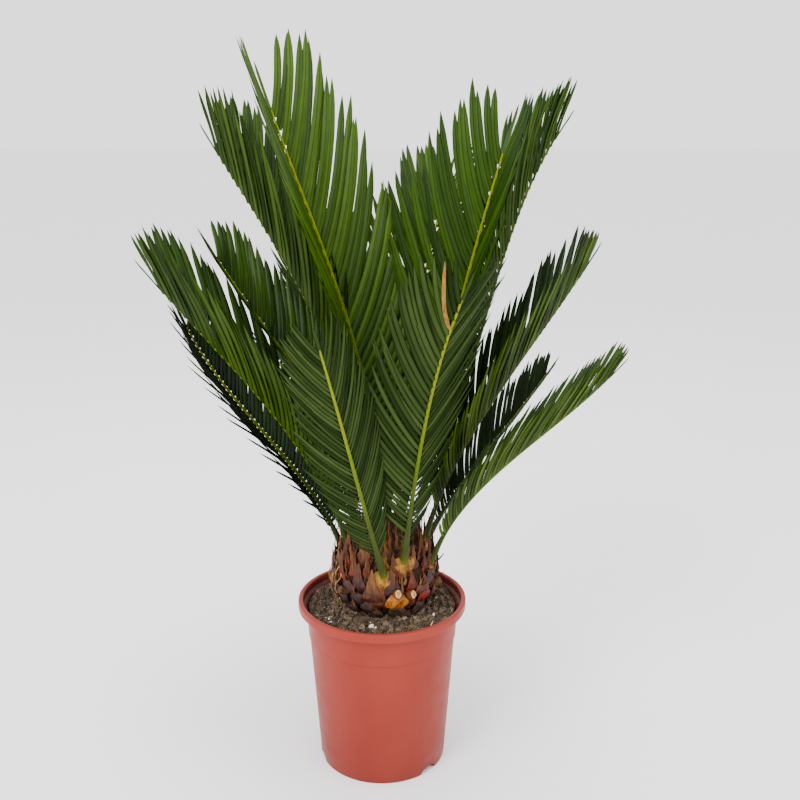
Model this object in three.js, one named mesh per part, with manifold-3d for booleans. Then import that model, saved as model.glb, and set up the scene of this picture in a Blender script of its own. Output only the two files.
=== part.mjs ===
// Sago palm (Cycas revoluta) in a plastic nursery pot.
// Millimetres, +Z up. The origin is the middle of the pot's underside.
import * as THREE from 'three';
import { mergeVertices } from 'three/addons/utils/BufferGeometryUtils.js';
import Module from 'manifold-3d';

const wasm = await Module();
wasm.setup();

// ---------------------------------------------------------------- driving sizes

const GAP = 0.3; // clearance between neighbouring pieces
const MERGE = 1e-4; // vertices closer than this are one vertex

const POT = {
  height: 175,
  rimRadius: 85, // a 17 cm nursery pot
  rimHeight: 9,
  rimEdge: 1.2, // rounding of the rolled rim
  mouthRadius: 80,
  wallRadius: 77, // outside, just under the rim
  footRadius: 64.5,
  wall: 1.8,
  bandHeight: 136, // the wall steps out by bandStep above this
  bandStep: 0.8,
  floor: 2.5,
  discRadius: 46, // flat middle of the floor, which stands on the ground
  grooveHeight: 8, // ring-shaped groove between the disc and the foot ring
  grooveSlope: 5,
  footRing: 3,
  sides: 36,
};
const NOTCH = { width: 20, height: 6.5, azimuths: [-43, -163, 77] };

// Soil level at the pot's wall, and [radius, height] of the mound at the foot of the stem.
const SOIL = { edge: 165.5, mound: [[62, 166.8], [51, 167], [43, 172]], lump: 1.3, wave: [0.23, 0.29] };

const CAUDEX = {
  centre: 3, // the stem stands a little off the pot's axis, along +X
  foot: 158,
  footRadius: 33,
  // radius of the bulb at each height, from its foot to its top
  bulb: [
    [164, 36], [172, 41], [188, 49], [203, 52], [216, 49], [228, 44], [238, 36], [247, 24], [253, 11],
  ],
  sides: 16,
};
const SCALE = {
  count: 46,
  from: 184, // height of the lowest
  to: 243,
  length: 24,
  width: 17,
  thick: 13,
  sunk: 9, // how far the roots lie inside the bulb, downwards and inwards
  inset: 4,
  flare: 30, // lean of the lowest; the highest lean less by the share flareLoss
  flareLoss: 0.55,
  small: 0.85, // size at both ends of the spiral, and how much it grows in the middle
  swell: 0.3,
  unlike: 0.15,
  stray: 8, // degrees
};
const BUD = { count: 6, radius: 8, length: 27, width: 7, height: 241, lean: 4 };
const STUB = {
  length: 17,
  radius: 4.6,
  lean: 62,
  // azimuth and height of each
  at: [[-77, 200], [-62, 197], [-20, 197], [-140, 196], [35, 195], [100, 192]],
};

const GOLDEN_ANGLE = 137.508;

// Each frond: the azimuth it leans to; its foot on the caudex [azimuth, radius, height];
// its tilt from upright at foot, middle and tip; the length of its rib; its longest leaflet;
// how far both rows of leaflets fold up into a trough; how far the whole blade is rolled
// about its rib; how wide its leaflets spread; and by what share they grow longer towards
// its tip. Degrees and millimetres.
const FRONDS = [
  ['frond_front_left', -125, [-90, 50, 219], [22, 20, 22], 254, 75, 24, 58, 0.86, 0.1],
  ['frond_front_right', -58, [-66, 46, 230], [12, 17, 33], 284, 98, 30, -11, 0.95, 0.05],
  ['frond_left_top', 160, [160, 14, 249], [-8, 18, 20], 419, 153, 35, -16, 0.84, 0.22],
  ['frond_right_top', 18, [18, 14, 249], [18, 15, 18], 377, 153, 38, 25, 0.86, -0.2],
  ['frond_left_low', -178, [-168, 38, 234], [15, 37, 39], 312, 114, 46, 0, 0.9, 0.3],
  ['frond_right_low', -13, [-18, 48, 217], [18, 45, 40], 263, 78, 35, 0, 0.85, 0],
  ['frond_right_upper', 2, [-2, 40, 236], [14, 32, 31], 312, 96, 38, 0, 0.9, 0],
  ['frond_left_back', 140, [138, 27, 246], [-3, 35, 42], 434, 128, 60, 20, 1, 0.3],
  ['frond_right_far', 34, [46, 27, 245], [41, 19, 41], 430, 118, 60, -15, 0.85, 0.3],
  ['frond_left_mid', 164, [164, 35, 238], [-5, 33, 33], 312, 88, 38, -12, 0.9, 0.1],
  ['frond_left_lowest', 172, [170, 42, 218], [19, 40, 24], 277, 80, 38, -24, 0.95, 0],
  ['frond_right_back', 22, [24, 45, 226], [31, 42, 38], 214, 58, 35, 0, 0.85, 0],
  ['frond_back', 62, [86, 24, 246], [12, 22, 32], 356, 118, 35, 0, 1, 0],
  ['frond_back_left', 112, [112, 34, 239], [22, 38, 46], 340, 118, 35, 0, 1, 0],
  ['frond_back_right', 76, [72, 43, 229], [34, 52, 58], 315, 106, 35, 0, 1, 0],
  ['frond_back_low', 96, [95, 47, 219], [45, 66, 72], 300, 102, 35, 0, 1, 0],
  ['frond_back_low_left', 120, [124, 46, 223], [36, 58, 62], 270, 96, 35, 0, 1, 0],
].map(([name, azimuth, foot, tilt, length, leaflet, fold, roll, spread, grow]) => (
  { name, azimuth, foot, tilt, length, leaflet, fold, roll, spread, grow }
));
const RIB = {
  sunk: 9, // how far its foot is let into the caudex
  half: 2.5, // half its width above the swollen foot
  tipHalf: 1,
  footHalf: 4.4,
  swell: 26, // length of the swollen foot
  bare: 0.12, // share of the length without leaflets
  deep: 0.85, // of its width
  steps: 40,
  pieces: 12, // straight pieces of the rib above its foot
};
const LEAFLET = {
  spacing: 19, // between neighbours on one side of the rib
  width: 12,
  rootWidth: 7,
  thick: 1.6,
  widest: 0.46, // where along the leaflet it is widest
  // share of the longest leaflet, and angle off the rib, along the rib from first pair to tip
  lengths: [[0, 0.3], [0.15, 0.68], [0.4, 1], [0.6, 1], [0.85, 0.8], [1, 0.42]],
  angles: [[0, 64], [0.25, 54], [0.5, 46], [0.8, 40], [1, 34]],
  bend: 15, // how far its outer half turns towards the frond's tip
  slot: 0.86, // of the room between two leaflets that one may fill
  unlike: 0.07, // how far neighbours differ in length
  low: 0.4, // where a pair stands in its room along the rib
  stagger: 0.1, // how far the two leaflets of a pair stand apart along the rib
  end: 0.35, // length of the last leaflet at the rib's end
  shorter: [1, 0.86, 0.72, 0.58, 0.44], // the lengths tried where a leaflet meets another piece
};

// ---------------------------------------------------------------- small helpers

const radians = THREE.MathUtils.degToRad;
const UP = new THREE.Vector3(0, 0, 1);

// The same numbers on every run.
function seededRandom(seed) {
  let state = seed;
  return () => {
    state = (state + 0x6d2b79f5) | 0;
    let t = Math.imul(state ^ (state >>> 15), 1 | state);
    t = (t + Math.imul(t ^ (t >>> 7), 61 | t)) ^ t;
    return ((t ^ (t >>> 14)) >>> 0) / 4294967296;
  };
}

// The value at x of the broken line through [[x, y], ...].
function along(points, x) {
  const next = points.findIndex((point) => point[0] >= x);
  if (next === 0) return points[0][1];
  if (next < 0) return points[points.length - 1][1];
  const [x0, y0] = points[next - 1];
  const [x1, y1] = points[next];
  return y0 + ((y1 - y0) * (x - x0)) / (x1 - x0);
}

// A point at an azimuth and a radius about the caudex's axis, and a height.
function onCaudex(azimuth, radius, height) {
  const a = radians(azimuth);
  return new THREE.Vector3(CAUDEX.centre + radius * Math.cos(a), radius * Math.sin(a), height);
}

// Moves every vertex of a geometry by a function of its position.
function reshape(geometry, move) {
  const position = geometry.attributes.position;
  const p = new THREE.Vector3();
  for (let i = 0; i < position.count; i++) {
    p.fromBufferAttribute(position, i);
    move(p);
    position.setXYZ(i, p.x, p.y, p.z);
  }
  return geometry;
}

function toSolid(geometry) {
  const bare = geometry.clone();
  bare.deleteAttribute('normal');
  bare.deleteAttribute('uv');
  const merged = mergeVertices(bare, MERGE);
  return new wasm.Manifold(new wasm.Mesh({
    numProp: 3,
    vertProperties: new Float32Array(merged.attributes.position.array),
    triVerts: new Uint32Array(merged.index.array),
  }));
}

function toGeometry(solid) {
  const mesh = solid.getMesh();
  const geometry = new THREE.BufferGeometry();
  geometry.setAttribute('position', new THREE.BufferAttribute(mesh.vertProperties, mesh.numProp));
  geometry.setIndex(new THREE.BufferAttribute(mesh.triVerts, 1));
  geometry.computeVertexNormals();
  return geometry;
}

const join = (solids) => solids.reduce((whole, solid) => whole.add(solid));

// Drops the scraps that a cut has left loose.
const largest = (solid) => solid.decompose().reduce((a, b) => (a.volume() > b.volume() ? a : b));

function touches(a, b) {
  const one = a.boundingBox();
  const other = b.boundingBox();
  const apart = [0, 1, 2].some((i) => one.max[i] < other.min[i] || other.max[i] < one.min[i]);
  return !apart && a.intersect(b).volume() > 0;
}

// Turns a profile of [radius, height] points about +Z.
function turned(profile, sides) {
  const points = profile.map(([radius, height]) => new THREE.Vector2(radius, height));
  return new THREE.LatheGeometry(points, sides).rotateX(Math.PI / 2);
}

// ---------------------------------------------------------------- pot

function wallOutside(height) {
  const plain = POT.wallRadius - POT.bandStep - POT.footRadius;
  const step = POT.bandStep * THREE.MathUtils.clamp(height - POT.bandHeight, 0, 1);
  return POT.footRadius + (plain * height) / (POT.height - POT.rimHeight) + step;
}

const wallInside = (height) => wallOutside(height) - POT.wall;

function makePot() {
  const under = POT.height - POT.rimHeight;
  const ring = POT.footRadius - POT.footRing;
  const band = POT.bandHeight;
  const profile = [
    [0, 0],
    [POT.discRadius, 0],
    [POT.discRadius + POT.grooveSlope, POT.grooveHeight],
    [ring - 1, POT.grooveHeight],
    [ring, 0],
    [POT.footRadius, 0],
    [wallOutside(band), band],
    [wallOutside(band + 1), band + 1],
    [wallOutside(under), under],
    [POT.rimRadius - POT.rimEdge, under],
    [POT.rimRadius, under + POT.rimEdge],
    [POT.rimRadius, POT.height - POT.rimEdge],
    [POT.rimRadius - POT.rimEdge, POT.height],
    [POT.mouthRadius + POT.rimEdge, POT.height],
    [POT.mouthRadius, POT.height - POT.rimEdge],
    [wallInside(under), under],
    [wallInside(band + 1), band + 1],
    [wallInside(band), band],
    [wallInside(POT.grooveHeight + POT.floor), POT.grooveHeight + POT.floor],
    [POT.discRadius + POT.grooveSlope - 1, POT.grooveHeight + POT.floor],
    [POT.discRadius - 1, POT.floor],
    [0, POT.floor],
  ];
  return cutNotches(toSolid(turned(profile, POT.sides)));
}

// Arched drainage notches in the foot ring.
function cutNotches(pot) {
  const arch = new THREE.Shape();
  arch.moveTo(-NOTCH.width / 2, -1);
  arch.lineTo(NOTCH.width / 2, -1);
  arch.absellipse(0, 0, NOTCH.width / 2, NOTCH.height, 0, Math.PI, false);
  arch.closePath();
  const depth = POT.footRing + 4;
  const cutter = new THREE.ExtrudeGeometry(arch, { depth, bevelEnabled: false, curveSegments: 8 });
  cutter.rotateX(Math.PI / 2).rotateZ(Math.PI / 2);
  cutter.translate(POT.footRadius - POT.footRing - 2, 0, 0);
  return NOTCH.azimuths.reduce(
    (rest, azimuth) => rest.subtract(toSolid(cutter.clone().rotateZ(radians(azimuth)))),
    pot,
  );
}

// ---------------------------------------------------------------- potting soil

// The soil fills the pot, is heaped against the foot of the caudex and keeps its print.
function makeSoil() {
  const bottom = POT.grooveHeight + POT.floor + GAP;
  const inside = (height) => [wallInside(height) - GAP, height];
  const profile = [
    [0, POT.floor + GAP],
    [POT.discRadius - 1 - GAP, POT.floor + GAP],
    [POT.discRadius + POT.grooveSlope - 1 - GAP, bottom],
    inside(bottom),
    inside(POT.bandHeight),
    inside(POT.bandHeight + 1),
    inside(SOIL.edge),
    ...SOIL.mound,
    [0, SOIL.mound[SOIL.mound.length - 1][1]],
  ];
  const heap = reshape(turned(profile, POT.sides), (p) => {
    const lump = SOIL.lump * Math.sin(p.x * SOIL.wave[0] + 1) * Math.cos(p.y * SOIL.wave[1]);
    p.z += p.z > SOIL.edge + 1 ? lump : 0;
  });
  return toSolid(heap).subtract(makeBulb(GAP));
}

// ---------------------------------------------------------------- caudex

// The bare bulb, grown on all sides by extra.
function makeBulb(extra = 0) {
  const [top] = CAUDEX.bulb[CAUDEX.bulb.length - 1];
  const profile = [
    [0, CAUDEX.foot - extra],
    [CAUDEX.footRadius + extra, CAUDEX.foot - extra],
    ...CAUDEX.bulb.map(([height, radius]) => [radius + extra, height]),
    [0, top + 1 + extra],
  ];
  return toSolid(turned(profile, CAUDEX.sides).translate(CAUDEX.centre, 0, 0));
}

// A flattened four-sided point: one old leaf base or bud scale, its root at the origin,
// pointing along +Z, deep along X and wide along Y.
function spike(length, deep, wide) {
  const cone = new THREE.ConeGeometry(0.5, length, 4).rotateX(Math.PI / 2);
  return cone.scale(deep, wide, 1).translate(0, 0, length / 2);
}

// Sets a piece on the caudex: its +Z is turned away from upright by tilt, towards the azimuth.
function setOnCaudex(geometry, azimuth, radius, height, tilt) {
  geometry.rotateY(radians(tilt)).rotateZ(radians(azimuth));
  const at = onCaudex(azimuth, radius, height);
  return geometry.translate(at.x, at.y, at.z);
}

function bulbRadius(height) {
  return along(CAUDEX.bulb, height);
}

// Old leaf bases in a spiral, larger and more spread in the middle of the bulb.
function leafBases() {
  const random = seededRandom(5);
  const stray = (size) => size * (random() - 0.5);
  return Array.from({ length: SCALE.count }, (_, i) => {
    const share = (i + 0.5) / SCALE.count;
    const height = THREE.MathUtils.lerp(SCALE.from, SCALE.to, share);
    const size = SCALE.small + SCALE.swell * Math.sin(Math.PI * share) + stray(SCALE.unlike);
    const tilt = SCALE.flare * (1 - SCALE.flareLoss * share) + stray(SCALE.stray);
    const azimuth = i * GOLDEN_ANGLE + stray(SCALE.stray);
    const base = spike(SCALE.length * size, SCALE.thick * size, SCALE.width * size);
    return toSolid(setOnCaudex(base, azimuth, bulbRadius(height) - SCALE.inset, height - SCALE.sunk, tilt));
  });
}

// Dry bud scales in a tuft on the top of the bulb.
function budScales() {
  return Array.from({ length: BUD.count }, (_, i) => {
    const radius = BUD.radius * Math.sqrt(i / BUD.count);
    const scale = spike(BUD.length, BUD.width, BUD.width);
    return toSolid(setOnCaudex(scale, i * GOLDEN_ANGLE, radius, BUD.height, BUD.lean + radius));
  });
}

// Stumps of cut stalks.
function stubs() {
  return STUB.at.map(([azimuth, height]) => {
    const stump = new THREE.CylinderGeometry(STUB.radius * 0.8, STUB.radius, STUB.length, 6);
    stump.rotateX(Math.PI / 2);
    return toSolid(setOnCaudex(stump, azimuth, bulbRadius(height), height, STUB.lean));
  });
}

function makeCaudex() {
  const armoured = join([makeBulb(), ...leafBases(), ...budScales(), ...stubs()]);
  return largest(FRONDS.reduce((rest, frond) => rest.subtract(makeRib(frond, GAP)), armoured));
}

// ---------------------------------------------------------------- fronds

// The frond's line as a list of frames, each with its point and three unit directions:
// to the side, forward along the rib, and up out of the trough.
function traceRib({ azimuth, foot, tilt, length, roll }) {
  const [atFoot, atMiddle, atTip] = tilt;
  const a = radians(azimuth);
  const outward = new THREE.Vector3(Math.cos(a), Math.sin(a), 0);
  const point = onCaudex(...foot);
  return Array.from({ length: RIB.steps + 1 }, (_, i) => {
    const t = i / RIB.steps;
    const bent = atFoot * (1 - t) * (1 - 2 * t) + 4 * atMiddle * t * (1 - t) + atTip * t * (2 * t - 1);
    const lean = radians(bent);
    const forward = outward.clone().multiplyScalar(Math.sin(lean)).addScaledVector(UP, Math.cos(lean));
    const side = new THREE.Vector3(Math.sin(a), -Math.cos(a), 0).applyAxisAngle(forward, radians(roll));
    const up = side.clone().cross(forward);
    const frame = { point: point.clone(), side, forward, up };
    point.addScaledVector(forward, length / RIB.steps);
    return frame;
  });
}

// The frame at a distance from the foot; past either end it carries straight on.
function frameAt(frames, distance, length) {
  const inside = THREE.MathUtils.clamp(distance, 0, length);
  const place = (inside / length) * RIB.steps;
  const i = Math.min(Math.floor(place), RIB.steps - 1);
  const mix = (key) => frames[i][key].clone().lerp(frames[i + 1][key], place - i);
  const forward = mix('forward').normalize();
  const point = mix('point').addScaledVector(forward, distance - inside);
  return { point, side: mix('side').normalize(), forward, up: mix('up').normalize() };
}

// Half the rib's width at a distance from its foot, where it swells.
function ribHalf(distance, length) {
  const share = THREE.MathUtils.clamp(distance / length, 0, 1);
  const swollen = (RIB.footHalf - RIB.half) * Math.exp(-(((share * length) / RIB.swell) ** 2));
  return THREE.MathUtils.lerp(RIB.half, RIB.tipHalf, share) + swollen;
}

// Every leaflet of a frond before any is shortened: where it stands on the rib, on which
// side (hand is 1 or -1), its angle off the rib and its reach.
function leafletsOf(frond, seed) {
  const random = seededRandom(seed);
  const bare = RIB.bare * frond.length;
  const pairs = Math.round((frond.length - bare) / LEAFLET.spacing);
  const room = (frond.length - bare) / pairs;
  const shares = Array.from({ length: pairs }, (_, pair) => (pair + LEAFLET.low) / pairs);
  return [1, -1].flatMap((hand) => shares.map((share) => {
    const unlike = 1 + LEAFLET.unlike * (2 * random() - 1);
    return {
      at: bare + room * (share * pairs + LEAFLET.stagger * hand),
      hand,
      room,
      angle: frond.spread * along(LEAFLET.angles, share),
      reach: frond.leaflet * along(LEAFLET.lengths, share) * (1 + frond.grow * (share - 0.5)) * unlike,
    };
  }));
}

// The outline of one leaflet laid flat, root to tip to root, from [x across, y along] the rib.
// A leaflet of no reach is only its root's place on the rib.
function leafletOutline(frond, { at, hand, room, angle, reach }, extra = 0) {
  const [first, second] = [radians(angle), radians(angle - LEAFLET.bend)];
  const slot = LEAFLET.slot * room;
  const rootHalf = Math.min(LEAFLET.rootWidth / 2 / Math.sin(first), slot / 2) + extra;
  const half = Math.min(LEAFLET.width / 2, (slot * Math.sin(second)) / 2) + extra;
  const middle = [reach * LEAFLET.widest * Math.sin(first), at + reach * LEAFLET.widest * Math.cos(first)];
  const outer = reach * (1 - LEAFLET.widest) + extra;
  const between = (first + second) / 2;
  const root = (y) => [hand * ribHalf(y, frond.length), y];
  const off = (sign) => [
    hand * (ribHalf(at, frond.length) + middle[0] + sign * half * Math.cos(between)),
    middle[1] - sign * half * Math.sin(between),
  ];
  const tip = [
    hand * (ribHalf(at, frond.length) + middle[0] + outer * Math.sin(second)),
    middle[1] + outer * Math.cos(second),
  ];
  const blade = reach > 0 ? [off(1), tip, off(-1)] : [];
  return [root(at - rootHalf), ...blade, root(at + rootHalf)];
}

// The triangles of a leaflet's outline, given the numbers of its points.
function leafletTriangles(points, hand) {
  if (points.length < 5) return [];
  const [root, low, tip, high, top] = points;
  const triangles = [[root, low, high], [low, tip, high], [root, high, top]];
  return hand > 0 ? triangles : triangles.map(([a, b, c]) => [c, b, a]);
}

// The triangles between the rib's right and left edge, each the numbers of its points upwards.
function ribTriangles(points, right, left) {
  const triangles = [];
  const height = (edge, i) => (i < edge.length ? points[edge[i]][1] : Infinity);
  let [i, j] = [0, 0];
  while (i + 1 < right.length || j + 1 < left.length) {
    if (height(right, i + 1) <= height(left, j + 1)) {
      triangles.push([right[i], right[i + 1], left[j]]);
      i += 1;
    } else {
      triangles.push([right[i], left[j + 1], left[j]]);
      j += 1;
    }
  }
  return triangles;
}

// A closed plate of depth 1 on flat triangles, with walls where a triangle has no neighbour.
function plate(points, triangles) {
  const top = points.length;
  const sides = triangles.flatMap(([a, b, c]) => [[a, b], [b, c], [c, a]]);
  const shared = new Set(sides.map(([a, b]) => `${b} ${a}`));
  const rim = sides.filter(([a, b]) => !shared.has(`${a} ${b}`));
  const faces = [
    ...triangles.flatMap(([a, b, c]) => [[a + top, b + top, c + top], [c, b, a]]),
    ...rim.flatMap(([a, b]) => [[a, b, b + top], [a, b + top, a + top]]),
  ];
  const position = [0, 1].flatMap((z) => points.flatMap(([x, y]) => [x, y, z]));
  const geometry = new THREE.BufferGeometry();
  geometry.setAttribute('position', new THREE.Float32BufferAttribute(position, 3));
  geometry.setIndex(faces.flat());
  return geometry;
}

// Folds a flat plate along the frond: the rib is thick, the rows of leaflets on its two
// sides are thin and turned up into a trough.
function foldBlade(frond, points, triangles, extra = 0) {
  const frames = traceRib(frond);
  const fold = radians(frond.fold);
  return toSolid(reshape(plate(points, triangles), (p) => {
    const { point, side, up } = frameAt(frames, p.y, frond.length);
    const half = ribHalf(p.y, frond.length);
    const hand = Math.sign(p.x);
    const aside = Math.max(Math.abs(p.x) - half, 0);
    const onRib = aside < extra + 0.01;
    const thick = (onRib ? 2 * half * RIB.deep : LEAFLET.thick) + 2 * extra;
    const above = (p.z - 0.5) * thick;
    const turn = onRib ? 0 : fold;
    const across = hand * (Math.min(Math.abs(p.x), half) + aside * Math.cos(fold) - above * Math.sin(turn));
    p.copy(point).addScaledVector(side, across);
    p.addScaledVector(up, aside * Math.sin(fold) + above * Math.cos(turn));
  }));
}

// The stalk and rib alone, grown on all sides by extra.
function makeRib(frond, extra = 0) {
  const { length } = frond;
  const free = Array.from({ length: RIB.pieces }, (_, i) => (
    THREE.MathUtils.lerp(RIB.swell, length, (i + 1) / RIB.pieces)
  ));
  const stations = [-RIB.sunk - extra, 0, RIB.swell / 2, RIB.swell, ...free];
  const points = [1, -1].flatMap((hand) => stations.map((y) => [hand * (ribHalf(y, length) + extra), y]));
  const right = stations.map((_, i) => i);
  const left = right.map((i) => i + stations.length);
  return foldBlade(frond, points, ribTriangles(points, right, left), extra);
}

// One leaflet alone, grown on all sides by extra.
function makeLeaflet(frond, leaflet, extra = 0) {
  const points = leafletOutline(frond, leaflet, extra);
  const numbers = points.map((_, i) => i);
  return foldBlade(frond, points, leafletTriangles(numbers, leaflet.hand), extra);
}

// The whole frond: the outline of its rib with a tooth for every leaflet.
function makeFrond(frond, leaflets) {
  const { length } = frond;
  const stalk = [-RIB.sunk, 0, RIB.swell / 2, RIB.swell];
  const points = [];
  const triangles = [];
  const put = (place) => points.push(place) - 1;
  const edge = (hand) => {
    const numbers = stalk.map((y) => put([hand * ribHalf(y, length), y]));
    for (const leaflet of leaflets.filter((each) => each.hand === hand)) {
      const tooth = leafletOutline(frond, leaflet).map(put);
      triangles.push(...leafletTriangles(tooth, hand));
      numbers.push(tooth[0], tooth[tooth.length - 1]);
    }
    return [...numbers, put([hand * RIB.tipHalf, length])];
  };
  const right = edge(1);
  const left = edge(-1);
  const tip = put([0, length + LEAFLET.end * frond.leaflet]);
  triangles.push(...ribTriangles(points, right, left), [right[right.length - 1], tip, left[left.length - 1]]);
  return foldBlade(frond, points, triangles);
}

// A leaflet at the longest of its lengths at which it stays clear of the obstacles, or with
// no reach at all.
function fitLeaflet(frond, leaflet, obstacles) {
  const fitting = LEAFLET.shorter
    .map((shorter) => ({ ...leaflet, reach: leaflet.reach * shorter }))
    .find((candidate) => {
      const swollen = makeLeaflet(frond, candidate, GAP);
      return !obstacles.some((obstacle) => touches(swollen, obstacle));
    });
  return fitting ?? { ...leaflet, reach: 0 };
}

// The fronds in their order: each keeps clear of the caudex, of every other rib and of the
// leaflets that are there before it.
function makeFronds(caudex) {
  const ribs = FRONDS.map((frond) => makeRib(frond));
  const placed = [];
  return FRONDS.map((frond, i) => {
    const obstacles = [caudex, ...ribs.filter((rib) => rib !== ribs[i]), ...placed];
    const leaflets = leafletsOf(frond, i + 1).map((leaflet) => fitLeaflet(frond, leaflet, obstacles));
    placed.push(...leaflets.filter(({ reach }) => reach > 0).map((leaflet) => makeLeaflet(frond, leaflet)));
    return makeFrond(frond, leaflets);
  });
}

// ---------------------------------------------------------------- assembly

const plastic = () => new THREE.MeshStandardMaterial({ color: 0xb5604f, roughness: 0.5 });
const earth = () => new THREE.MeshStandardMaterial({ color: 0x4a3f33, roughness: 1 });
const bark = () => new THREE.MeshStandardMaterial({ color: 0x8a4e33, roughness: 0.85 });
const leaf = () => new THREE.MeshStandardMaterial({ color: 0x4a7322, roughness: 0.45 });

function named(name, solid, material) {
  const mesh = new THREE.Mesh(toGeometry(solid), material);
  mesh.name = name;
  return mesh;
}

const caudex = makeCaudex();
const palm = new THREE.Group();
palm.add(named('pot', makePot(), plastic()));
palm.add(named('soil', makeSoil(), earth()));
palm.add(named('caudex', caudex, bark()));
makeFronds(caudex).forEach((solid, i) => palm.add(named(FRONDS[i].name, solid, leaf())));

export default palm;
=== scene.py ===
# Sago palm (Cycas revoluta) in a terracotta-coloured plastic nursery pot.
# Lengths are millimetres and angles degrees, in the part's frame. Shape.make() turns them into metres.
from math import atan2, cos, degrees, hypot, pi, radians, sin, sqrt

import bpy
import numpy as np
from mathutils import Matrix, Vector, noise


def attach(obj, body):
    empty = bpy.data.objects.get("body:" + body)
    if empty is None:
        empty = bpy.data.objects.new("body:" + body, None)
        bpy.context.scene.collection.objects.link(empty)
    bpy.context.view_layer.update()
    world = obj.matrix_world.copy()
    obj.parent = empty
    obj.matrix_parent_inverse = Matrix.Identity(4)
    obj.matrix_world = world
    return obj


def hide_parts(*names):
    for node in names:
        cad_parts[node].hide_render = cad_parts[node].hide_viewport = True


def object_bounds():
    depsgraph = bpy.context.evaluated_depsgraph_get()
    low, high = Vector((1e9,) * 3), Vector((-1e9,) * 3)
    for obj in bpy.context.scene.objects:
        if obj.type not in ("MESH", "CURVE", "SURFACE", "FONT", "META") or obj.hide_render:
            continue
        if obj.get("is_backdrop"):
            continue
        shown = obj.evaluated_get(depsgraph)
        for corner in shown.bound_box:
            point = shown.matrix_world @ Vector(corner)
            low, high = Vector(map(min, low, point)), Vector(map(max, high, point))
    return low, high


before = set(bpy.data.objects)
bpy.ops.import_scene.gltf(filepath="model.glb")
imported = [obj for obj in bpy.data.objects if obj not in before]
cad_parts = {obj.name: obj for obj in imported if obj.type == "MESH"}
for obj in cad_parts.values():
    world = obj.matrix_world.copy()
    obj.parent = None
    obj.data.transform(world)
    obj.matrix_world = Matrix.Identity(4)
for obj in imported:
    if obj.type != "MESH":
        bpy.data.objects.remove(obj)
CAD_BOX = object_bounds()
noise.seed_set(4)  # without a seed noise_vector takes its offsets from the clock

# ---- driving sizes, as in the solids

MM = 0.001
GOLDEN_ANGLE = 137.508
UP = np.array([0.0, 0.0, 1.0])

POT_HEIGHT = 175
POT_RIM = 85  # outer radius of the rolled rim
POT_RIM_HEIGHT = 9
POT_MOUTH = 80
POT_WALL_TOP = 77  # outside, just under the rim
POT_FOOT = 64.5
POT_WALL = 1.8
POT_BAND = 136  # the wall steps out above this height
POT_BAND_STEP = 0.8
POT_FLOOR = 2.5
POT_DISC = 46  # flat middle of the underside
POT_GROOVE = 8  # height of the groove round the disc
POT_GROOVE_SLOPE = 5
POT_FOOT_RING = 3
NOTCH_WIDTH = 20
NOTCH_HEIGHT = 6.5
NOTCH_AZIMUTHS = (-43, -163, 77)

SOIL_PROFILE = ((30, 172), (43, 172), (51, 167), (62, 166.8), (76, 165.5))  # radius, height
SOIL_CLEAR = 0.15  # between the soil and the pot's wall

CAUDEX_CENTRE = np.array([3.0, 0.0, 0.0])
CAUDEX_BULB = ((158, 33), (164, 36), (172, 41), (188, 49), (203, 52), (216, 49), (228, 44),
               (238, 36), (247, 24), (253, 11), (254, 0.5))  # height, radius
STUBS = ((-77, 200), (-62, 197), (-20, 197), (-140, 196), (35, 195), (100, 192))  # azimuth, height

RIB_SUNK = 9  # how far the stalk runs on inside the stem
RIB_HALF = 2.5
RIB_TIP_HALF = 1
RIB_FOOT_HALF = 4.4
RIB_SWELL = 26  # length over which the foot is swollen
RIB_BARE = 0.12  # share of the rib without leaflets
RIB_DEEP = 0.85  # depth over width
RIB_STEPS = 40

# name without its "frond_": azimuth, foot on the caudex (azimuth, radius, height), tilt at foot, middle
# and tip, length of the rib, longest leaflet, fold of the two rows, roll about the rib, spread of
# the leaflets, how much longer they grow towards the tip, tint of the leaves
FRONDS = {
    "front_left": (-125, (-90, 50, 219), (22, 20, 22), 254, 75, 24, 58, 0.86, 0.1, "deep"),
    "front_right": (-58, (-66, 46, 230), (12, 17, 33), 284, 98, 30, -11, 0.95, 0.05, "deep"),
    "left_top": (160, (160, 14, 249), (-8, 18, 20), 419, 153, 35, -16, 0.84, 0.22, "bright"),
    "right_top": (18, (18, 14, 249), (18, 15, 18), 377, 153, 38, 25, 0.86, -0.2, "mid"),
    "left_low": (-178, (-168, 38, 234), (15, 37, 39), 312, 114, 46, 0, 0.9, 0.3, "mid"),
    "right_low": (-13, (-18, 48, 217), (18, 45, 40), 263, 78, 35, 0, 0.85, 0, "mid"),
    "right_upper": (2, (-2, 40, 236), (14, 32, 31), 312, 96, 38, 0, 0.9, 0, "deep"),
    "left_back": (140, (138, 27, 246), (-3, 35, 42), 434, 128, 60, 20, 1, 0.3, "mid"),
    "right_far": (34, (46, 27, 245), (41, 19, 41), 430, 118, 60, -15, 0.85, 0.3, "mid"),
    "left_mid": (164, (164, 35, 238), (-5, 33, 33), 312, 88, 38, -12, 0.9, 0.1, "mid"),
    "left_lowest": (172, (170, 42, 218), (19, 40, 24), 277, 80, 38, -24, 0.95, 0, "deep"),
    "right_back": (22, (24, 45, 226), (31, 42, 38), 214, 58, 35, 0, 0.85, 0, "deep"),
    "back": (62, (86, 24, 246), (12, 22, 32), 356, 118, 35, 0, 1, 0, "bright"),
    "back_left": (112, (112, 34, 239), (22, 38, 46), 340, 118, 35, 0, 1, 0, "mid"),
    "back_right": (76, (72, 43, 229), (34, 52, 58), 315, 106, 35, 0, 1, 0, "mid"),
    "back_low": (96, (95, 47, 219), (45, 66, 72), 300, 102, 35, 0, 1, 0, "mid"),
    "back_low_left": (120, (124, 46, 223), (36, 58, 62), 270, 96, 35, 0, 1, 0, "deep"),
}

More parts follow.
